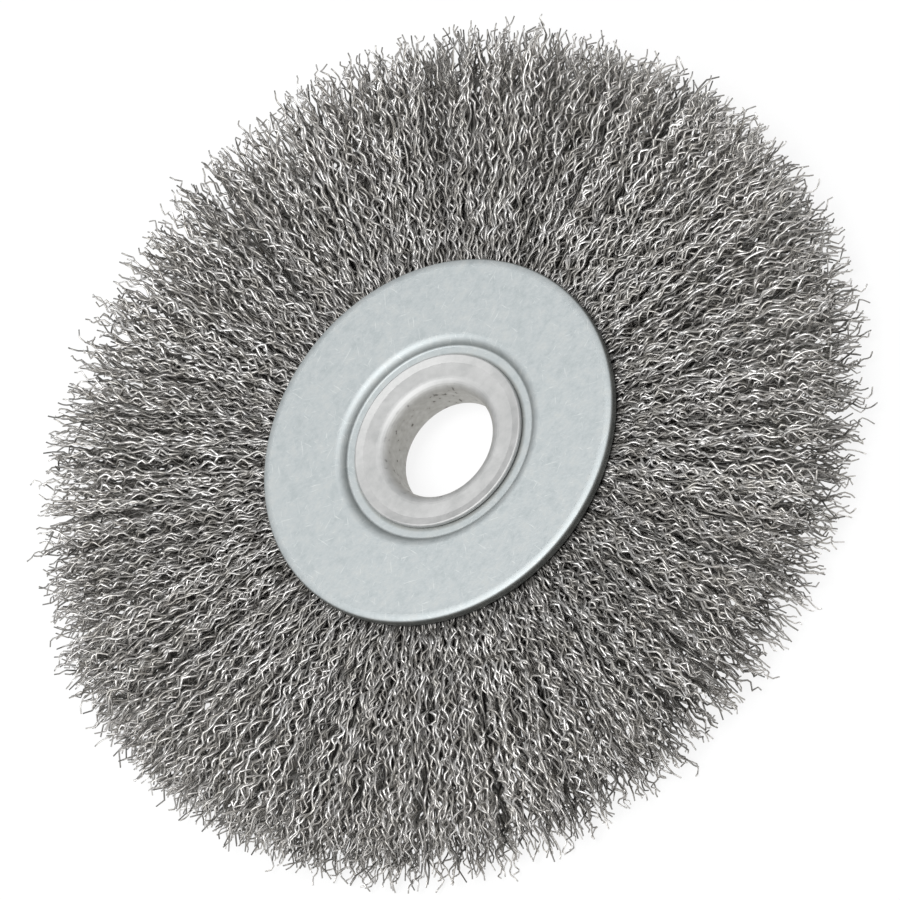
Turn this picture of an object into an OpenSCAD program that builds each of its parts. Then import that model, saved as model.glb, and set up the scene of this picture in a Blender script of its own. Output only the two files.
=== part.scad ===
// Crimped wire wheel brush, millimetres.
// The wheel lies flat: its arbor axis is +Z and its origin is the middle of the bore.
// Hairpins of crimped wire are folded over a retaining ring, two stamped side plates nip
// them together, and a flared sleeve through the middle holds the plates.

/* [Wheel] */
// Diameter over the wire tips
wheel_d = 124; // [110:1:150]
// Width of the wire face at the tips
face_w = 12; // [9:0.5:16]

/* [Arbor sleeve] */
// Diameter of the arbor hole
bore_d = 16; // [10:0.5:25]
// Wall of the tube
sleeve_wall = 1.8; // [1:0.1:3]
// How far a flared flange stands out from the tube
flange_w = 3.2; // [2.4:0.1:5]
// Thickness of the flared flanges
flange_t = 0.9; // [0.6:0.05:1.1]
// Rounding of the flange's outer edge
flange_edge_r = 0.25; // [0.1:0.05:0.4]
// Height of the open wedge that springback leaves under the flange's edge
flange_lift = 0.3; // [0.05:0.05:0.4]
// Width of the lip that the flaring tool leaves round the edge of the flange face
lip_w = 1.3; // [0.8:0.1:1.8]
// How far the flange face lies below the top of that lip
lip_h = 0.2; // [0.05:0.05:0.3]
// Radius from the flange face into the bore
mouth_r = 1.7; // [0.5:0.1:2]

/* [Side plates] */
// Width of the flat ring that the spindle's washers clamp on
clamp_face_w = 10.1; // [7.5:0.1:14]
// Thickness of the plate metal
plate_t = 0.8; // [0.7:0.05:1.1]
// Width over both plates
hub_w = 7.8; // [7:0.1:10]
// Width of the recess floor that stays bare round the flange
recess_bare_w = 1.3; // [0.5:0.1:3]
// Depth of the recess below the plate face
recess_depth = 1.05; // [0.9:0.05:1.4]
// Steepest slope of the shoulder round the recess, in degrees
shoulder_slope = 60; // [50:1:70]
// Large radius at which the face begins to roll over towards the rim
rim_roll_r = 2.5; // [1.5:0.1:4]
// Slope at which that roll ends and the coined corner of the rim begins, in degrees
rim_roll_a = 20; // [10:1:30]
// Radius of the coined corner
rim_corner_r = 0.5; // [0.3:0.05:1]
// Radius inside the turned-in rim
rim_bend_r = 0.2; // [0.1:0.05:0.6]
// Height of the turned-in rim below the plate face
rim_depth = 1.4; // [1.2:0.05:2]

/* [Retaining ring] */
// Diameter of the ring's wire
ring_wire_d = 2; // [1:0.1:2.2]

/* [Crimped wire] */
// Distance between two crests of the crimp along a strand
crimp_pitch = 5.5; // [5.2:0.1:9]
// Height of a crimp to one side of a strand's middle line
crimp_height = 0.45; // [0.2:0.05:0.6]
// How far the crests drift in and out round the wheel
crest_drift = 1.1; // [0:0.1:1.4]
// Height of a strand above the groove beside it, at the rim of the plates
strand_relief_inner = 0.45; // [0.1:0.05:0.6]
// Height of a strand above the groove beside it, at the tips
strand_relief_tip = 1.6; // [0.4:0.1:2]
// How much longer or shorter than wheel_d a strand may end, measured along the radius
tip_scatter = 1.7; // [0:0.1:2.5]
// Depth of the notches between the ends of two strands
tip_notch = 2.6; // [0.5:0.1:3]
// Thickness of the wire that passes round the inside of the retaining ring
fold_t = 1.5; // [1:0.1:1.7]
// Distance from the shoulder of the plates out to the folded wire
fold_gap = 0.7; // [0.4:0.1:1.2]

/* [Clearances] */
// Gap between the sleeve and the holes of the plates, on the radius
hole_clearance = 0.1; // [0.05:0.01:0.2]
// Gap between the wire and the plates
nip_clearance = 0.05; // [0.02:0.01:0.15]
// Gap between the wire and the retaining ring
ring_clearance = 0.25; // [0.2:0.01:0.4]
// Gap between two neighbouring bundles of wire
bundle_gap = 0.16; // [0.05:0.01:0.3]

/* [Hidden] */
BUNDLES = 18;
STRANDS = 5;

ZINC = [0.78, 0.81, 0.82];
SLEEVE_STEEL = [0.74, 0.74, 0.73];
RING_STEEL = [0.45, 0.45, 0.46];
WIRE_STEEL = [0.52, 0.50, 0.48];

$fn = 96;
ARC_STEPS = 8;

wheel_r = wheel_d / 2;
face_z = hub_w / 2;
floor_z = face_z - recess_depth;
bore_r = bore_d / 2;
tube_r = bore_r + sleeve_wall;
flange_r = tube_r + flange_w;
hole_r = tube_r + hole_clearance;

// The shoulder is two arcs that meet at the steepest slope, so their radii follow from the
// depth: the lower one is half as tight as the plate is thick.
shoulder_low_r = plate_t / 2;
shoulder_high_r = recess_depth / (1 - cos(shoulder_slope)) - shoulder_low_r;
shoulder_start_r = flange_r + recess_bare_w;
shoulder_end_r = shoulder_start_r + (shoulder_low_r + shoulder_high_r) * sin(shoulder_slope);

rim_z = face_z - rim_depth;
rim_corner_x = (rim_roll_r - rim_corner_r) * sin(rim_roll_a);
plate_r = shoulder_end_r + clamp_face_w + rim_corner_x + rim_corner_r;

// Heights and radii of the wire, from the ring out to where it leaves the plates
hub_wire_z = face_z - plate_t - nip_clearance;
nip_z = rim_z - nip_clearance;
fold_r = ring_wire_d / 2 + ring_clearance + fold_t;
ring_r = shoulder_end_r + fold_gap + fold_r;
tunnel_r = (ring_wire_d / 2 + ring_clearance) / cos(22.5);
tunnel_end_r = ring_r + 2 * tunnel_r;
exit_r = plate_r + 3 * nip_clearance;
nip_start_r = plate_r - plate_t - 4 * nip_clearance;
hub_wire_end_r = nip_start_r - rim_bend_r;

// A bundle is a grid of columns, groove and strand by turns, and of rows, one at each crest
COLUMNS = 2 * STRANDS + 1;
COLUMNS_ROUND = 2 * STRANDS * BUNDLES;
column_a = 360 / COLUMNS_ROUND;
notch_r = wheel_r - tip_notch;
rows = round(2 * (notch_r - exit_r) / crimp_pitch);
row_step = (notch_r - exit_r) / rows;

FRONT = 1;
REAR = -1;
LEFT = 0;
RIGHT = 1;

strand_ends = rands(-1, 1, COLUMNS_ROUND, 41);
crown_ends = rands(-1, 1, COLUMNS_ROUND, 17);
strand_sinks = rands(0, 1, COLUMNS_ROUND, 73);

function bundle_name(n) = str("wire_bundle_", n < 10 ? "0" : "", n);
function polar(r, a, z) = [r * cos(a), r * sin(a), z];
function is_strand(column) = column % 2 == 1;
function wrap(column) = (column + COLUMNS_ROUND) % COLUMNS_ROUND;

// Slow waves round the wheel, so that neighbouring strands nest while the crests wander
function drift(a) = crest_drift * (0.6 * sin(7 * a + 25) + 0.4 * sin(17 * a + 130));

function end_r(column, face) =
    let (
        drawn_at = face == FRONT || !is_strand(column) ? column : wrap(3 * column + 4),
        scatter = tip_scatter * strand_ends[drawn_at]
    )
    is_strand(column) ? wheel_r + scatter : notch_r + 0.3 * scatter;

function row_r(column, row, face) =
    row == rows
        ? end_r(column, face)
        : exit_r + row * row_step + min(1, row / 2, (rows - row) / 3) * drift(column * column_a);

// Sideways place of a column at a row: it swings to one side at each crest, then to the other
function row_a(column, row, face) =
    let (side = row == 0 ? 0 : row % 2 == 0 ? 1 : -1)
    column * column_a + side * crimp_height / row_r(column, row, face) * 180 / PI;

function row_z(column, row) =
    let (
        out = row / rows,
        sink = 0.4 * out * (column % 4 == 1 ? 0 : strand_sinks[column]),
        relief = strand_relief_inner + out * (strand_relief_tip - strand_relief_inner),
        crest_z = nip_z + out * (face_w / 2 - nip_z)
    )
    crest_z - sink - (is_strand(column) ? 0 : relief);

// Half of the gap to the next bundle, as a turn that grows towards the axis
function gap_a(local, r) =
    (local == 0 ? 1 : local == COLUMNS - 1 ? -1 : 0) * bundle_gap / 2 / r * 180 / PI;

function wire_point(n, local, row, face) =
    let (
        column = wrap((n - 1) * 2 * STRANDS + local),
        r = row_r(column, row, face)
    )
    polar(r, row_a(column, row, face) + gap_a(local, r), face * row_z(column, row));

function crown_point(n, local) =
    let (
        column = wrap((n - 1) * 2 * STRANDS + local),
        r = wheel_r - tip_notch / 2 + (is_strand(column) ? 1 : 0.3) * tip_scatter * crown_ends[column]
    )
    polar(r, row_a(column, rows, FRONT) + gap_a(local, r), 0);

function side_point(n, side, r, z) =
    let (local = side == LEFT ? 0 : COLUMNS - 1)
    polar(r, (n - 1) * 360 / BUNDLES + local * column_a + gap_a(local, r), z);

// The hairpin in section, as [radius, height]: its outer skin from the front nip round the fold
// to the rear nip, then the tunnel that the ring lies in, drawn to a point where the legs close
skin = concat(
    [[nip_start_r, nip_z], [hub_wire_end_r, hub_wire_z]],
    [for (a = [90 : 45 : 270]) [ring_r + fold_r * cos(a), hub_wire_z * sin(a)]],
    [[hub_wire_end_r, -hub_wire_z], [nip_start_r, -nip_z]]
);
tunnel = concat(
    [[tunnel_end_r, 0]],
    [for (a = [90 : 45 : 270]) [ring_r + tunnel_r * cos(a), tunnel_r * sin(a)]]
);

SKIN = len(skin);
TUNNEL = len(tunnel);
FACE_POINTS = (rows + 1) * COLUMNS;
CROWN_AT = 2 * FACE_POINTS;
SKIN_AT = CROWN_AT + COLUMNS;
TUNNEL_AT = SKIN_AT + 2 * SKIN;

function face_at(face, row, local) = (face == FRONT ? 0 : FACE_POINTS) + row * COLUMNS + local;
function crown_at(local) = CROWN_AT + local;
function skin_at(side, k) = SKIN_AT + side * SKIN + k;
function tunnel_at(side, k) = TUNNEL_AT + side * TUNNEL + (k + TUNNEL) % TUNNEL;

function quad(a, b, c, d) = [[a, b, c], [a, c, d]];
function turned(faces) = [for (f = faces) [f[2], f[1], f[0]]];
function flat(lists) = [for (list = lists) each list];

function bundle_points(n) = concat(
    [for (face = [FRONT, REAR], row = [0 : rows], local = [0 : COLUMNS - 1]) wire_point(n, local, row, face)],
    [for (local = [0 : COLUMNS - 1]) crown_point(n, local)],
    [for (side = [LEFT, RIGHT], p = skin) side_point(n, side, p[0], p[1])],
    [for (side = [LEFT, RIGHT], p = tunnel) side_point(n, side, p[0], p[1])]
);

// Both wire faces, and the crown of tips between them
function fan_faces() = flat([
    for (row = [0 : rows - 1], local = [0 : COLUMNS - 2])
        concat(
            quad(
                face_at(FRONT, row, local), face_at(FRONT, row, local + 1),
                face_at(FRONT, row + 1, local + 1), face_at(FRONT, row + 1, local)
            ),
            quad(
                face_at(REAR, row, local), face_at(REAR, row + 1, local),
                face_at(REAR, row + 1, local + 1), face_at(REAR, row, local + 1)
            )
        )
]);

function crown_faces() = flat([
    for (local = [0 : COLUMNS - 2])
        concat(
            quad(
                face_at(FRONT, rows, local), face_at(FRONT, rows, local + 1),
                crown_at(local + 1), crown_at(local)
            ),
            quad(
                crown_at(local), crown_at(local + 1),
                face_at(REAR, rows, local + 1), face_at(REAR, rows, local)
            )
        )
]);

// The strip between the many columns at the nip and the plain skin inside the plates
function nip_faces(face) =
    let (
        k = face == FRONT ? 0 : SKIN - 1,
        middle = STRANDS,
        strip = concat(
            [for (local = [0 : middle - 1])
                [skin_at(LEFT, k), face_at(face, 0, local + 1), face_at(face, 0, local)]],
            [[skin_at(LEFT, k), skin_at(RIGHT, k), face_at(face, 0, middle)]],
            [for (local = [middle : COLUMNS - 2])
                [skin_at(RIGHT, k), face_at(face, 0, local + 1), face_at(face, 0, local)]]
        )
    )
    face == FRONT ? strip : turned(strip);

function fold_faces() = flat([
    for (k = [0 : SKIN - 2])
        quad(skin_at(LEFT, k), skin_at(LEFT, k + 1), skin_at(RIGHT, k + 1), skin_at(RIGHT, k))
]);

function tunnel_faces() = flat([
    for (k = [0 : TUNNEL - 1])
        quad(tunnel_at(LEFT, k), tunnel_at(RIGHT, k), tunnel_at(RIGHT, k + 1), tunnel_at(LEFT, k + 1))
]);

// One side of a bundle, as seen with the axis to the left: fan, nip, legs and fold
function side_faces(side) =
    let (
        local = side == LEFT ? 0 : COLUMNS - 1,
        front_leg = 1,
        rear_leg = SKIN - 2,
        walls = concat(
            flat([
                for (row = [0 : rows - 1])
                    quad(
                        face_at(FRONT, row, local), face_at(FRONT, row + 1, local),
                        face_at(REAR, row + 1, local), face_at(REAR, row, local)
                    )
            ]),
            [[face_at(FRONT, rows, local), crown_at(local), face_at(REAR, rows, local)]],
            quad(
                skin_at(side, 0), face_at(FRONT, 0, local),
                face_at(REAR, 0, local), skin_at(side, SKIN - 1)
            ),
            quad(
                skin_at(side, front_leg), skin_at(side, 0),
                skin_at(side, SKIN - 1), skin_at(side, rear_leg)
            ),
            [
                [skin_at(side, front_leg), skin_at(side, rear_leg), tunnel_at(side, 0)],
                [skin_at(side, front_leg), tunnel_at(side, 0), tunnel_at(side, 1)],
                [skin_at(side, front_leg), tunnel_at(side, 1), skin_at(side, front_leg + 1)],
                [skin_at(side, rear_leg), tunnel_at(side, TUNNEL - 1), tunnel_at(side, 0)],
                [skin_at(side, rear_leg), skin_at(side, rear_leg - 1), tunnel_at(side, TUNNEL - 1)]
            ],
            flat([
                for (k = [1 : TUNNEL - 2])
                    quad(
                        skin_at(side, k + 1), tunnel_at(side, k),
                        tunnel_at(side, k + 1), skin_at(side, k + 2)
                    )
            ])
        )
    )
    side == LEFT ? walls : turned(walls);

function bundle_faces() = concat(
    fan_faces(),
    crown_faces(),
    nip_faces(FRONT),
    nip_faces(REAR),
    fold_faces(),
    tunnel_faces(),
    side_faces(LEFT),
    side_faces(RIGHT)
);

// Points along an arc, from one angle to the other
function arc(at, r, from_a, to_a) =
    [for (k = [0 : ARC_STEPS]) let (a = from_a + (to_a - from_a) * k / ARC_STEPS) at + r * [cos(a), sin(a)]];

// The sheet in section, as [radius, height]: its outer surface from the hole to the rim,
// then its inner surface back to the hole
function plate_outline() =
    let (
        low = [shoulder_start_r, floor_z + shoulder_low_r],
        high = [shoulder_end_r, face_z - shoulder_high_r],
        roll = [shoulder_end_r + clamp_face_w, face_z - rim_roll_r],
        corner = roll + (rim_roll_r - rim_corner_r) * [sin(rim_roll_a), cos(rim_roll_a)],
        bend = [plate_r - plate_t - rim_bend_r, face_z - plate_t - rim_bend_r],
        meet_low_a = -90 + shoulder_slope,
        meet_high_a = 90 + shoulder_slope
    )
    concat(
        [[hole_r, floor_z]],
        arc(low, shoulder_low_r, -90, meet_low_a),
        [for (k = [1 : ARC_STEPS]) arc(high, shoulder_high_r, meet_high_a, 90)[k]],
        arc(roll, rim_roll_r, 90, 90 - rim_roll_a),
        [for (k = [1 : ARC_STEPS]) arc(corner, rim_corner_r, 90 - rim_roll_a, 0)[k]],
        [[plate_r, rim_z], [plate_r - plate_t, rim_z]],
        arc(bend, rim_bend_r, 0, 90),
        arc(high, shoulder_high_r - plate_t, 90, meet_high_a),
        [for (k = [1 : ARC_STEPS]) arc(low, shoulder_low_r + plate_t, meet_low_a, -90)[k]],
        [[hole_r, floor_z - plate_t]]
    );

module front_side_plate() {
    color(ZINC)
        rotate_extrude()
            polygon(plate_outline());
}

module rear_side_plate() {
    color(ZINC)
        mirror([0, 0, 1])
            rotate_extrude()
                polygon(plate_outline());
}

// The upper half of the sleeve in section, from the bore round the mouth and the flange
function sleeve_outline() =
    let (
        lip_z = floor_z + flange_t,
        flange_z = lip_z - lip_h
    )
    concat(
        arc([bore_r + mouth_r, flange_z - mouth_r], mouth_r, 180, 90),
        [[flange_r - lip_w, flange_z]],
        arc([flange_r - flange_edge_r, lip_z - flange_edge_r], flange_edge_r, 90, 0),
        [[flange_r, floor_z + flange_lift], [flange_r - lip_w / 2, floor_z], [tube_r, floor_z]]
    );

module arbor_sleeve() {
    upper = sleeve_outline();
    lower = [for (k = [len(upper) - 1 : -1 : 0]) [upper[k][0], -upper[k][1]]];
    color(SLEEVE_STEEL)
        rotate_extrude()
            polygon(concat(upper, lower));
}

module retaining_ring() {
    color(RING_STEEL)
        rotate_extrude()
            translate([ring_r, 0])
                circle(d = ring_wire_d);
}

module wire_bundle(n) {
    color(WIRE_STEEL)
        polyhedron(points = bundle_points(n), faces = bundle_faces());
}

front_side_plate();
rear_side_plate();
arbor_sleeve();
retaining_ring();
for (n = [1 : BUNDLES]) wire_bundle(n);
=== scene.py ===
# Looks of the crimped wire wheel brush, in metres. The wheel lies flat with its arbor axis
# along +Z, and every wire is a crimped hairpin folded over the retaining ring.
import math

import bpy
import numpy as np
from mathutils import Matrix, Vector


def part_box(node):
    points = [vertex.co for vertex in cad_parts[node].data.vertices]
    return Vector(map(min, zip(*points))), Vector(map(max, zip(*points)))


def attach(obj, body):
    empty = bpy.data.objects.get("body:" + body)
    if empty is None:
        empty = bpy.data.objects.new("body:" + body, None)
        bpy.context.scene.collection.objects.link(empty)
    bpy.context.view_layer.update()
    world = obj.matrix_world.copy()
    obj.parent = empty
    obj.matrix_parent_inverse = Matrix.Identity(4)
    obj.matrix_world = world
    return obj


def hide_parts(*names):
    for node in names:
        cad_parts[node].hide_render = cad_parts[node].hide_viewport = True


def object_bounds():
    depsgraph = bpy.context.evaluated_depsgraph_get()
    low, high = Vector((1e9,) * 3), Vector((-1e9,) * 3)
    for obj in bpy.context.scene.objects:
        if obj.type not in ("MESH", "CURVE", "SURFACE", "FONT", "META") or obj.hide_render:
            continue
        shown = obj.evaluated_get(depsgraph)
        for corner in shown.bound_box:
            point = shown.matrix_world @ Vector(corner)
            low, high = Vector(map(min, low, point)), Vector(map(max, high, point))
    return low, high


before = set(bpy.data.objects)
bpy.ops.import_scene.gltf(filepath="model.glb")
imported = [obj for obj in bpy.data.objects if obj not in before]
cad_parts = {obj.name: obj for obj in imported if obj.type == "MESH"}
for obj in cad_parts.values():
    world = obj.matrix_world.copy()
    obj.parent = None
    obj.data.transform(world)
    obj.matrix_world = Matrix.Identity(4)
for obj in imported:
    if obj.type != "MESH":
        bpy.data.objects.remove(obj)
cad_low, cad_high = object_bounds()

MM = 0.001
FULL_TURN = 2.0 * math.pi
BODY = "root"
BUNDLES = sorted(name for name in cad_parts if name.startswith("wire_bundle_"))

# Heights and radii that the wires keep to, measured on the plates, the ring and the bundles
ring_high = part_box("retaining_ring")[1]
plate_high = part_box("front_side_plate")[1]
RING_WIRE_R = ring_high.z
RING_R = ring_high.x - RING_WIRE_R
RIM_R = plate_high.x
FACE_HALF_W = cad_high.z

# Sizes that no box of the frame gives: the height of the nip between the rims, the bore, the
# reach of the trimmed tips, and how thick the wires lie over the ring
NIP_Z = 2.2 * MM
BORE_R = 8.0 * MM
TIP_R = 61.4 * MM
FOLD_THICKNESS = 1.35 * MM

WIRE_R = 0.2 * MM
WIRE_SIDES = 3
QUAD = 4
CRIMP_HEIGHT = 0.45 * MM

# A wire thins to this share of its radius at a tip, over this share of the hairpin's points
TIP_THINNESS = 0.6
TIP_SHARE = 0.09

# A leg starts a little inside the rims, and comes loose over the first stretch past the nip
NIP_INSET = 0.2 * MM
LOOSE_LENGTH = 1.6 * MM

# The wires may pass the faces of the bundles by this much, and are pressed in softly from this
# share of that height on
FACE_MARGIN = 0.1 * MM
SOFT_SHARE = 0.93

# The trim of the tips, in mm: a spread about a middle, a tail of long ones, and the limits
TRIM_MIDDLE = -0.35
TRIM_SPREAD = 0.65
TRIM_TAIL = 0.75
TRIM_LEAST = -2.2
TRIM_MOST = 2.6

# Wear and tufts in the trim round the wheel: height in mm, waves in a turn, start in radians
WEAR_START = math.radians(240.0)
WEAR_WAVES = ((0.4, 1), (0.5, 2), (0.55, 4))
TUFT_WAVES = ((0.3, 27, 0.0), (0.35, 61, 2.0), (0.35, 89, 0.0))

# What draws the wires into tufts: pull, waves in a turn, start in radians
CLUMPS = ((0.25, 47, 1.0), (0.22, 71, 0.0))

# The wires near the two faces show, and have more crimps and points than the wires between
# them, which only fill the wheel. The shares tell where the points lie along a leg, 0 at the
# nip and 1 at the tip. Those of the inner wires are closest together near the tip, which shows
FACE_HAIRPINS = 1020
FACE_CRIMPS = 12.8
FACE_SHARES = np.linspace(0.0, 1.0, 62)
CORE_HAIRPINS = 800
CORE_CRIMPS = 8.0
CORE_SHARES = np.concatenate([np.linspace(0.0, 0.64, 6), np.linspace(0.68, 1.0, 9)])
FOLD_STEPS = 4
SEED = 12

# How the photograph was taken
PHOTO_SIZE = 900
PLATE_CENTRE_X = 436.2
PLATE_CENTRE_Y = 439.1
PIXELS_PER_M = 7200.0
CAMERA_ELEVATION = math.radians(53.0)
CAMERA_ROLL = math.radians(50.5)
CAMERA_DISTANCE = 2.5
SENSOR_WIDTH = 36.0

# The floor fills the photograph's view. Its glow is the share of it that shines by itself
FLOOR_HALF = 4.0
FLOOR_GAP = 0.02 * MM
FLOOR_GREY = 0.82
FLOOR_GLOW = 0.86
STUDIO_COLOUR = (0.97, 0.985, 1.0, 1.0)
STUDIO_STRENGTH = 0.47

# Places of the colour sockets on a Mix node, where names repeat from one kind to the next
MIX_FACTOR = 0
MIX_A = 6
MIX_B = 7
MIX_RESULT = 2

# Looks of the metals: how metallic the plates and the sleeve are, how deep their grain goes, the
# scratches on the plates with their directions in degrees, the distance from the axis that the
# painted shade in the creases of a plate is measured by, and the width over which the bore turns
# into the flange
SATIN_METALLIC = 0.85
GRAIN_DEPTH = 0.0001
SCRATCH_ANGLES = (12.0, 52.0, 95.0, 140.0)
SCRATCH_SCALE = 420.0
SCRATCH_COLOUR = (0.565, 0.59, 0.585, 1.0)
CREASE_REACH = 30.0 * MM
MOUTH_BLEND_W = 0.9 * MM


def node_material(name):
    """A new material with its Principled shader, and short ways to add and link nodes."""
    material = bpy.data.materials.new(name)
    material.use_nodes = True
    tree = material.node_tree
    shader = tree.nodes["Principled BSDF"]

    def add(kind, **inputs):
        node = tree.nodes.new(kind)
        for key, value in inputs.items():
            node.inputs[key.replace("_", " ")].default_value = value
        return node

    def link(source, output, target, socket):
        tree.links.new(source.outputs[output], target.inputs[socket])

    return material, shader, add, link


def grey(value):
    """A neutral colour."""
    return (value, value, value)


def ramp(add, stops):
    """A colour ramp through (position, colour) stops."""
    node = add("ShaderNodeValToRGB")
    band = node.color_ramp
    while len(band.elements) < len(stops):
        band.elements.new(0.5)
    for element, (position, colour) in zip(band.elements, stops):
        element.position = position
        element.color = (*colour, 1.0)
    return node


def colour_mix(add):
    """A Mix node for colours."""
    mix = add("ShaderNodeMix")
    mix.data_type = "RGBA"
    return mix


def multiplied(add, link, first, second, output="Color"):
    """A colour made of two colours multiplied."""
    mix = colour_mix(add)
    mix.blend_type = "MULTIPLY"
    mix.inputs[MIX_FACTOR].default_value = 1.0
    link(first, output, mix, MIX_A)
    link(second, "Color", mix, MIX_B)
    return mix


def noise(add, link, place, **inputs):
    """A noise over the object."""
    node = add("ShaderNodeTexNoise", **inputs)
    link(place, "Object", node, "Vector")
    return node


def tinted(add, link, source, stops):
    """A colour ramp that follows a noise or an attribute."""
    node = ramp(add, stops)
    link(source, "Fac", node, "Fac")
    return node


def add_grain(add, link, place, shader, scale, strength):
    """A fine bump all over, as on satin metal."""
    grain = noise(add, link, place, Scale=scale, Detail=4.0, Roughness=0.6)
    bump = add("ShaderNodeBump", Strength=strength, Distance=GRAIN_DEPTH)
    link(grain, "Fac", bump, "Height")
    link(bump, "Normal", shader, "Normal")


def from_axis(add, link, place, end, start=0.0):
    """How far a point lies from the arbor axis: 0 at the start distance, 1 at the end."""
    sideways = add("ShaderNodeVectorMath")
    sideways.operation = "MULTIPLY"
    sideways.inputs[1].default_value = (1.0, 1.0, 0.0)
    link(place, "Object", sideways, 0)
    distance = add("ShaderNodeVectorMath")
    distance.operation = "LENGTH"
    link(sideways, "Vector", distance, 0)
    share = add("ShaderNodeMapRange")
    share.inputs["From Min"].default_value = start
    share.inputs["From Max"].default_value = end
    link(distance, "Value", share, "Value")
    return share


def wire_material():
    """Steel wire, each its own grey, scraped bright in places; painted shade on inner wires and at
    the roots.
    """
    material, shader, add, link = node_material("crimped_wire")
    tone_and_shade = add("ShaderNodeAttribute")
    tone_and_shade.attribute_name = "tone_and_shade"
    drawn = tinted(add, link, tone_and_shade, [
        (0.0, (0.24, 0.235, 0.225)),
        (0.5, (0.68, 0.66, 0.64)),
        (1.0, (1.0, 0.985, 0.965)),
    ])
    place = add("ShaderNodeTexCoord")
    scrape = noise(add, link, place, Scale=420.0, Detail=2.0)
    scraped = tinted(add, link, scrape, [(0.36, (0.66, 0.65, 0.625)), (0.62, grey(1.0))])
    colour = multiplied(add, link, drawn, scraped)
    # Painted shade: the wires darken towards their roots at the rims
    root_shade = ramp(add, [
        (0.0, grey(0.60)),
        (0.12, grey(0.80)),
        (0.4, grey(0.87)),
        (0.85, grey(1.0)),
    ])
    link(from_axis(add, link, place, TIP_R, RIM_R), "Result", root_shade, "Fac")
    with_painted_shade = multiplied(add, link, colour, root_shade, MIX_RESULT)
    link(with_painted_shade, MIX_RESULT, shader, "Base Color")
    shader.inputs["Metallic"].default_value = 1.0
    gloss = tinted(add, link, scrape, [(0.36, grey(0.56)), (0.62, grey(0.47))])
    link(gloss, "Color", shader, "Roughness")
    return material


def scratches(add, link, place, angle):
    """Sparse hairline scratches along one direction: 0 on the bare metal, 1 in a scratch."""
    turned = add("ShaderNodeMapping")
    turned.vector_type = "TEXTURE"
    turned.inputs["Rotation"].default_value = (0.0, 0.0, math.radians(angle))
    turned.inputs["Scale"].default_value = (1.0, 0.1, 1.0)
    link(place, "Object", turned, "Vector")
    streak = add("ShaderNodeTexNoise", Scale=SCRATCH_SCALE, Detail=2.0, Roughness=0.5)
    link(turned, "Vector", streak, "Vector")
    return tinted(add, link, streak, [(0.68, grey(0.0)), (0.75, grey(1.0))])


def zinc_material():
    """Zinc plating: pale and bluish, with a faint mottle, hairline scratches, a soft sheen and
    painted shade in its creases.
    """
    material, shader, add, link = node_material("zinc_plate")
    place = add("ShaderNodeTexCoord")
    mottle = noise(add, link, place, Scale=620.0, Detail=8.0, Roughness=0.72)
    base = tinted(add, link, mottle, [
        (0.32, (0.41, 0.445, 0.45)),
        (0.50, (0.465, 0.495, 0.50)),
        (0.68, (0.505, 0.525, 0.52)),
    ])
    output = "Color"
    for angle in SCRATCH_ANGLES:
        mix = colour_mix(add)
        link(scratches(add, link, place, angle), "Color", mix, MIX_FACTOR)
        link(base, output, mix, MIX_A)
        mix.inputs[MIX_B].default_value = SCRATCH_COLOUR
        base = mix
        output = MIX_RESULT

    # Painted shade darkens the crease round the flange, the foot of the recess and the wall of the
    # rim
    crease_shade = ramp(add, [
        (0.435, (0.58, 0.57, 0.55)),
        (0.443, (0.70, 0.69, 0.67)),
        (0.452, grey(1.0)),
        (0.482, grey(1.0)),
        (0.488, (0.74, 0.74, 0.73)),
        (0.495, (0.80, 0.80, 0.79)),
        (0.512, grey(1.0)),
        (0.906, grey(1.0)),
        (0.911, (0.33, 0.32, 0.30)),
    ])
    link(from_axis(add, link, place, CREASE_REACH), "Result", crease_shade, "Fac")
    with_painted_shade = multiplied(add, link, base, crease_shade, output)
    link(with_painted_shade, MIX_RESULT, shader, "Base Color")
    shader.inputs["Metallic"].default_value = SATIN_METALLIC
    gloss = tinted(add, link, mottle, [(0.3, grey(0.58)), (0.7, grey(0.68))])
    link(gloss, "Color", shader, "Roughness")
    add_grain(add, link, place, shader, 1800.0, 0.25)
    return material


def sleeve_material():
    """The flared sleeve: neutral grey steel, rubbed on the flange, dull and specked in the bore."""
    material, shader, add, link = node_material("sleeve_steel")
    place = add("ShaderNodeTexCoord")
    mottle = noise(add, link, place, Scale=420.0, Detail=8.0, Roughness=0.66)
    rubbed = tinted(add, link, mottle, [
        (0.30, (0.42, 0.425, 0.42)),
        (0.52, (0.495, 0.495, 0.49)),
        (0.70, (0.55, 0.55, 0.545)),
    ])

    # The distance from the arbor axis tells the bore, 0, from the flange, 1
    outside = from_axis(add, link, place, BORE_R + MOUTH_BLEND_W, BORE_R)
    speck = noise(add, link, place, Scale=1300.0, Detail=1.0)
    dull = tinted(add, link, speck, [
        (0.27, (0.18, 0.17, 0.155)),
        (0.33, (0.45, 0.44, 0.415)),
        (0.75, (0.54, 0.535, 0.51)),
    ])
    mix = colour_mix(add)
    link(outside, "Result", mix, MIX_FACTOR)
    link(dull, "Color", mix, MIX_A)
    link(rubbed, "Color", mix, MIX_B)
    link(mix, MIX_RESULT, shader, "Base Color")
    shader.inputs["Metallic"].default_value = SATIN_METALLIC
    gloss = tinted(add, link, mottle, [(0.3, grey(0.60)), (0.7, grey(0.70))])
    link(gloss, "Color", shader, "Roughness")
    add_grain(add, link, place, shader, 1600.0, 0.2)
    return material


def ring_material():
    """The retaining ring is plain drawn wire, darker than the plates."""
    material, shader, add, link = node_material("ring_steel")
    place = add("ShaderNodeTexCoord")
    streak = noise(add, link, place, Scale=900.0, Detail=3.0)
    colour = tinted(add, link, streak, [(0.3, grey(0.20)), (0.7, grey(0.32))])
    link(colour, "Color", shader, "Base Color")
    shader.inputs["Metallic"].default_value = 1.0
    shader.inputs["Roughness"].default_value = 0.35
    return material


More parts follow.
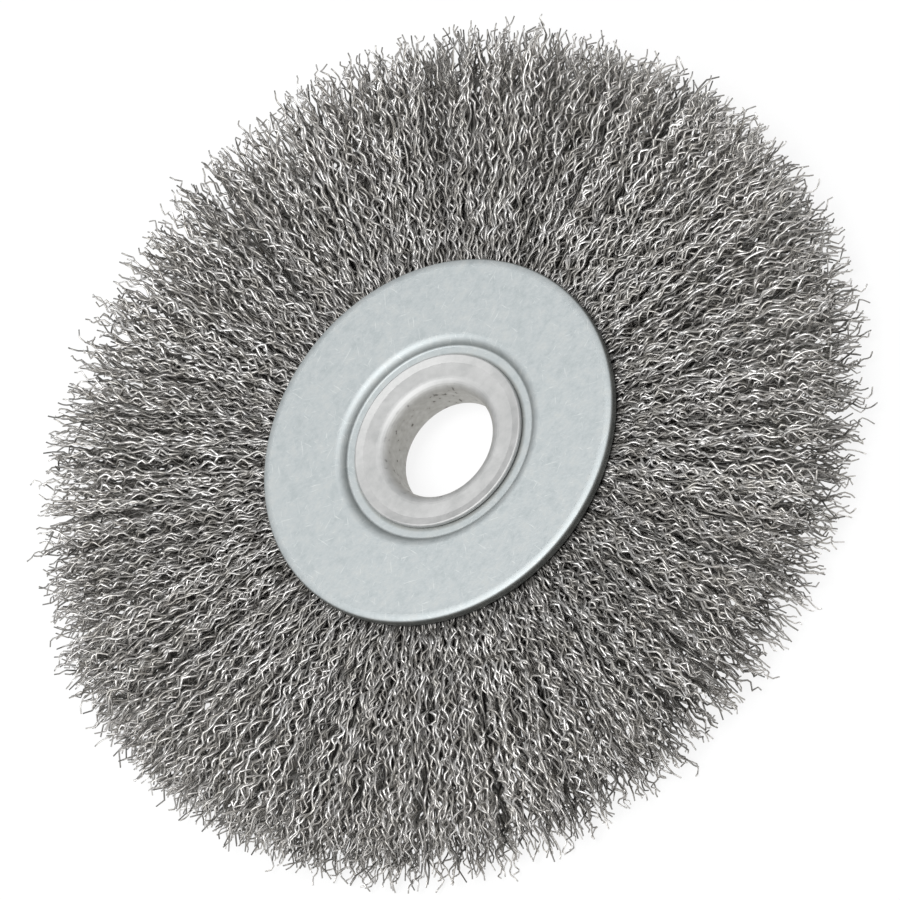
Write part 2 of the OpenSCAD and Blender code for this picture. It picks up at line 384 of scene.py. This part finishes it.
def smooth(t):
    """0 to 1 as t goes from 0 to 1, with level ends."""
    t = np.clip(t, 0.0, 1.0)
    return t * t * (3.0 - 2.0 * t)


def clumped(azimuth):
    """Draws azimuths together a little, so that the wires gather in tufts as the real ones do."""
    drawn = azimuth
    for pull, waves, start in CLUMPS:
        drawn = drawn + pull / waves * np.sin(waves * azimuth + start)
    return drawn


def uneven(azimuth):
    """How much further the tips reach at an azimuth: the wheel is worn a little out of round."""
    turn = azimuth - WEAR_START
    worn = sum(height * np.cos(waves * turn) for height, waves in WEAR_WAVES)
    tufts = sum(height * np.sin(waves * turn + start) for height, waves, start in TUFT_WAVES)
    return (worn + tufts) * MM


def leg_points(rng, azimuth, layer, side, crimps, shares):
    """One leg of each hairpin, from the nip out to its tip: (hairpins, shares, 3)."""
    column = (len(azimuth), 1)
    t = shares[None, :]

    def between(least, most):
        """An even draw for each hairpin."""
        return rng.uniform(least, most, column)

    def about(middle, spread):
        """A draw for each hairpin that gathers about the middle."""
        return rng.normal(middle, spread, column)

    def wave(least, most):
        """A wave along each leg that starts from zero, with a drawn number of turns."""
        return np.sin(FULL_TURN * t * between(least, most))

    def shifted_wave(least, most):
        """A wave along each leg that starts anywhere in its turn."""
        return np.sin(FULL_TURN * t * between(least, most) + between(0.0, FULL_TURN))

    nip_r = RIM_R - NIP_INSET
    trim = about(TRIM_MIDDLE, TRIM_SPREAD) + rng.exponential(TRIM_TAIL, column)
    trim = np.clip(trim, TRIM_LEAST, TRIM_MOST) * MM
    reach = TIP_R - nip_r + uneven(azimuth[:, None]) + trim
    along = reach * t
    radius = nip_r + along
    loose = smooth(along / LOOSE_LENGTH)

    # The crimp swings the wire sideways and up and down at once, along a flat loop
    phase = between(0.0, FULL_TURN) + FULL_TURN * crimps * about(1.0, 0.12) * t
    phase += about(0.0, 0.6) * wave(1.0, 3.0)
    phase += about(0.0, 0.7) * wave(3.0, 6.0)
    swell = 1.0 + 0.35 * shifted_wave(1.5, 4.0)
    height = CRIMP_HEIGHT * between(0.8, 1.25) * swell
    offset = between(0.0, FULL_TURN) + about(0.0, 1.5) * t
    wave_across = height * between(0.2, 1.1) * np.sin(phase)
    wave_up = height * between(0.7, 1.5) * np.sin(phase + offset)

    # On top of that a leg leans, bows, splays near its tip and weaves through the others
    lean = about(0.0, math.radians(2.1)) * t ** 1.2
    bow = about(0.0, 0.6 * MM) * wave(0.5, 2.5)
    splay = about(0.0, 0.7 * MM) * smooth((t - 0.8) / 0.25)
    weave = 0.8 * MM * shifted_wave(3.0, 7.0)

    across = loose * (wave_across + bow + splay)
    top = NIP_Z + (FACE_HALF_W - NIP_Z) * t
    z = side * layer[:, None] * top + loose * (wave_up + weave)
    z = held_within(z, top + FACE_MARGIN * loose)
    turn = azimuth[:, None] + lean + across / radius
    return np.stack([radius * np.cos(turn), radius * np.sin(turn), z], axis=2)


def held_within(z, top):
    """Heights pressed softly below the top: those well inside it stay as they are."""
    bend = SOFT_SHARE * top
    over = np.abs(z) - bend
    room = top - bend
    return np.where(over > 0.0, np.sign(z) * (bend + room * np.tanh(over / room)), z)


def fold_points(azimuth, layer):
    """The bend of each hairpin round the inside of the ring, from the front leg to the rear."""
    fold_r = RING_WIRE_R + WIRE_R + FOLD_THICKNESS * layer[:, None]
    turn = np.linspace(90.0, 270.0, FOLD_STEPS + 1)[None, :] * math.pi / 180.0
    radius = RING_R + fold_r * np.cos(turn)
    z = fold_r * np.sin(turn)
    a = azimuth[:, None]
    return np.stack([radius * np.cos(a), radius * np.sin(a), z], axis=2)


def hairpins(rng, layer, crimps, shares):
    """Paths of whole hairpins, tip to tip, one for each layer value, and their azimuths."""
    count = len(layer)
    azimuth = FULL_TURN * (np.arange(count) + rng.uniform(0.0, 1.0, count)) / count
    azimuth = clumped(azimuth) % FULL_TURN
    front = leg_points(rng, azimuth, layer, 1.0, crimps, shares)
    rear = leg_points(rng, azimuth, layer, -1.0, crimps, shares)
    path = np.concatenate([front[:, ::-1], fold_points(azimuth, layer), rear], axis=1)
    return path, azimuth


def unit(vectors):
    """Vectors of length one."""
    return vectors / np.linalg.norm(vectors, axis=2, keepdims=True)


def tube_points(path):
    """Rings of points round each path, thinner towards both tips: (wires, length, sides, 3)."""
    count, length, _ = path.shape
    tangent = unit(np.gradient(path, axis=1))
    plane = unit(np.stack([-path[:, :, 1], path[:, :, 0], np.zeros((count, length))], axis=2))
    normal = unit(np.cross(tangent, plane))
    side = np.cross(normal, tangent)
    turn = FULL_TURN * np.arange(WIRE_SIDES) / WIRE_SIDES
    ring = (np.cos(turn)[:, None] * normal[:, :, None, :]
            + np.sin(turn)[:, None] * side[:, :, None, :])
    from_tip = np.minimum(np.arange(length), np.arange(length)[::-1]) / length
    radius = WIRE_R * (TIP_THINNESS + (1.0 - TIP_THINNESS) * smooth(from_tip / TIP_SHARE))
    return path[:, :, None, :] + radius[None, :, None, None] * ring


def tube_faces(count, length, base):
    """Corners of the faces of some tubes, walls first and then both ends, and their counts."""
    start = base + np.arange(count)[:, None, None] * length * WIRE_SIDES
    row = np.arange(length - 1)[None, :, None] * WIRE_SIDES
    k = np.arange(WIRE_SIDES)[None, None, :]
    after = (k + 1) % WIRE_SIDES
    walls = np.stack([
        start + row + k,
        start + row + after,
        start + row + WIRE_SIDES + after,
        start + row + WIRE_SIDES + k,
    ], axis=3).reshape(-1)
    first = (start[:, 0] + k[0, :, ::-1]).reshape(-1)
    last = (start[:, 0] + (length - 1) * WIRE_SIDES + k[0]).reshape(-1)
    corners = np.concatenate([walls, first, last])
    sizes = np.concatenate([np.full(len(walls) // QUAD, QUAD), np.full(2 * count, WIRE_SIDES)])
    return corners, sizes


def tube_mesh(name, paths, tones_and_shade):
    """One mesh of closed tubes along the paths, with each wire's tone and painted shade on its
    points.
    """
    vertices = []
    corners = []
    sizes = []
    values = []
    base = 0
    for path, tone_and_shade in zip(paths, tones_and_shade):
        count, length, _ = path.shape
        points = tube_points(path).reshape(-1, 3)
        vertices.append(points)
        values.append(np.repeat(tone_and_shade, length * WIRE_SIDES))
        some_corners, some_sizes = tube_faces(count, length, base)
        corners.append(some_corners)
        sizes.append(some_sizes)
        base += len(points)
    mesh = bpy.data.meshes.new(name)
    vertices = np.concatenate(vertices)
    corners = np.concatenate(corners)
    sizes = np.concatenate(sizes)
    starts = np.concatenate([[0], np.cumsum(sizes)[:-1]])
    mesh.vertices.add(len(vertices))
    mesh.vertices.foreach_set("co", vertices.astype(np.float32).ravel())
    mesh.loops.add(len(corners))
    mesh.loops.foreach_set("vertex_index", corners.astype(np.int32))
    mesh.polygons.add(len(sizes))
    mesh.polygons.foreach_set("loop_start", starts.astype(np.int32))
    mesh.polygons.foreach_set("use_smooth", sizes == QUAD)
    mesh.update(calc_edges=True)
    attribute = mesh.attributes.new("tone_and_shade", "FLOAT", "POINT")
    attribute.data.foreach_set("value", np.concatenate(values).astype(np.float32))
    return mesh


def add_piece(name, mesh, material):
    """A new piece of the wheel, riding on its one body."""
    mesh.materials.append(material)
    piece = bpy.data.objects.new(name, mesh)
    bpy.context.scene.collection.objects.link(piece)
    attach(piece, BODY)
    return piece


def make_wires(material):
    """All the hairpins, sorted into one piece for each bundle of the frame."""
    rng = np.random.default_rng(SEED)
    face_layers = 0.97 - 0.4 * rng.uniform(0.0, 1.0, FACE_HAIRPINS) ** 1.3
    core_layers = rng.uniform(0.05, 0.62, CORE_HAIRPINS)
    groups = [
        hairpins(rng, face_layers, FACE_CRIMPS, FACE_SHARES),
        hairpins(rng, core_layers, CORE_CRIMPS, CORE_SHARES),
    ]
    # Each wire's tone is drawn at random, and the inner wires are given darker tones as painted
    # shade
    tones_and_shade = [
        np.clip(rng.normal(0.58, 0.26, FACE_HAIRPINS), 0.0, 1.0),
        np.clip(rng.normal(0.22, 0.18, CORE_HAIRPINS), 0.0, 1.0),
    ]
    width = FULL_TURN / len(BUNDLES)
    for index, node in enumerate(BUNDLES):
        paths = []
        shades = []
        for (path, azimuth), tone_and_shade in zip(groups, tones_and_shade):
            mine = (azimuth // width).astype(int) % len(BUNDLES) == index
            paths.append(path[mine])
            shades.append(tone_and_shade[mine])
        name = "wires_" + node[-2:]
        piece = add_piece(name, tube_mesh(name, paths, shades), material)
        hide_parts(node)


def dress(node, material):
    """Gives a node of the frame its material."""
    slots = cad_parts[node].data.materials
    slots.clear()
    slots.append(material)


def floor_material():
    """Pale and diffuse, and mostly glowing where the camera or a reflection sees it."""
    material = bpy.data.materials.new("pale_floor")
    material.use_nodes = True
    nodes = material.node_tree.nodes
    links = material.node_tree.links
    nodes.clear()
    out = nodes.new("ShaderNodeOutputMaterial")
    diffuse = nodes.new("ShaderNodeBsdfDiffuse")
    diffuse.inputs["Color"].default_value = (*grey(FLOOR_GREY), 1.0)
    glow = nodes.new("ShaderNodeEmission")
    glow.inputs["Color"].default_value = (*grey(1.0), 1.0)
    glow.inputs["Strength"].default_value = 1.0
    path = nodes.new("ShaderNodeLightPath")
    seen = nodes.new("ShaderNodeMath")
    seen.operation = "MAXIMUM"
    links.new(path.outputs["Is Camera Ray"], seen.inputs[0])
    links.new(path.outputs["Is Glossy Ray"], seen.inputs[1])
    share = nodes.new("ShaderNodeMath")
    share.operation = "MULTIPLY"
    share.inputs[1].default_value = FLOOR_GLOW
    links.new(seen.outputs[0], share.inputs[0])
    mix = nodes.new("ShaderNodeMixShader")
    links.new(share.outputs[0], mix.inputs["Fac"])
    links.new(diffuse.outputs[0], mix.inputs[1])
    links.new(glow.outputs[0], mix.inputs[2])
    links.new(mix.outputs[0], out.inputs["Surface"])
    return material


def make_floor():
    """A plain pale floor just under the wheel."""
    mesh = bpy.data.meshes.new("floor")
    half = FLOOR_HALF
    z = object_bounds()[0].z - FLOOR_GAP
    corners = [(-half, -half, z), (half, -half, z), (half, half, z), (-half, half, z)]
    mesh.from_pydata(corners, [], [(0, 1, 2, 3)])
    floor = bpy.data.objects.new("floor", mesh)
    bpy.context.scene.collection.objects.link(floor)
    mesh.materials.append(floor_material())


def photo_axes():
    """Right, up and back directions of the photograph's camera."""
    back = Vector((0.0, -math.cos(CAMERA_ELEVATION), math.sin(CAMERA_ELEVATION)))
    level_right = Vector((1.0, 0.0, 0.0))
    level_up = back.cross(level_right)
    up = math.cos(CAMERA_ROLL) * level_up + math.sin(CAMERA_ROLL) * level_right
    right = up.cross(back)
    return right, up, back


def make_camera():
    """The photograph's view: a long lens, looking down on the wheel and rolled to the right."""
    right, up, back = photo_axes()
    data = bpy.data.cameras.new("camera")
    data.sensor_width = SENSOR_WIDTH
    data.lens = data.sensor_width * CAMERA_DISTANCE * PIXELS_PER_M / PHOTO_SIZE
    data.clip_end = 50.0
    camera = bpy.data.objects.new("camera", data)
    bpy.context.scene.collection.objects.link(camera)
    plate_centre = Vector((0.0, 0.0, plate_high.z))
    aside = (PHOTO_SIZE / 2 - PLATE_CENTRE_X) / PIXELS_PER_M
    down = (PHOTO_SIZE / 2 - PLATE_CENTRE_Y) / PIXELS_PER_M
    eye = plate_centre + aside * right - down * up + CAMERA_DISTANCE * back
    turn = Matrix((right, up, back)).transposed().to_4x4()
    camera.matrix_world = Matrix.Translation(eye) @ turn
    bpy.context.scene.camera = camera


def add_area_light(name, direction, distance, size, power):
    """A square softbox in a direction from the wheel, facing it."""
    data = bpy.data.lights.new(name, "AREA")
    data.size = size
    data.energy = power
    lamp = bpy.data.objects.new(name, data)
    bpy.context.scene.collection.objects.link(lamp)
    direction = direction.normalized()
    lamp.location = direction * distance
    lamp.rotation_mode = "QUATERNION"
    lamp.rotation_quaternion = direction.to_track_quat("Z", "Y")


def make_light():
    """An even studio: a pale dome, a soft key from above and a weaker fill."""
    right, up, back = photo_axes()
    add_area_light("key", 0.9 * back - 0.5 * right + 0.2 * up, distance=1.0, size=0.7, power=12.0)
    add_area_light("fill", 0.5 * back + 0.9 * right + 0.3 * up, distance=1.2, size=0.6, power=2.5)
    world = bpy.data.worlds.new("studio")
    world.use_nodes = True
    background = world.node_tree.nodes["Background"]
    background.inputs["Color"].default_value = STUDIO_COLOUR
    background.inputs["Strength"].default_value = STUDIO_STRENGTH
    bpy.context.scene.world = world


make_camera()
make_light()
dress("front_side_plate", zinc_material())
dress("rear_side_plate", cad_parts["front_side_plate"].data.materials[0])
dress("arbor_sleeve", sleeve_material())
dress("retaining_ring", ring_material())
make_wires(wire_material())
make_floor()

scene = bpy.context.scene
scene.view_settings.view_transform = "Standard"
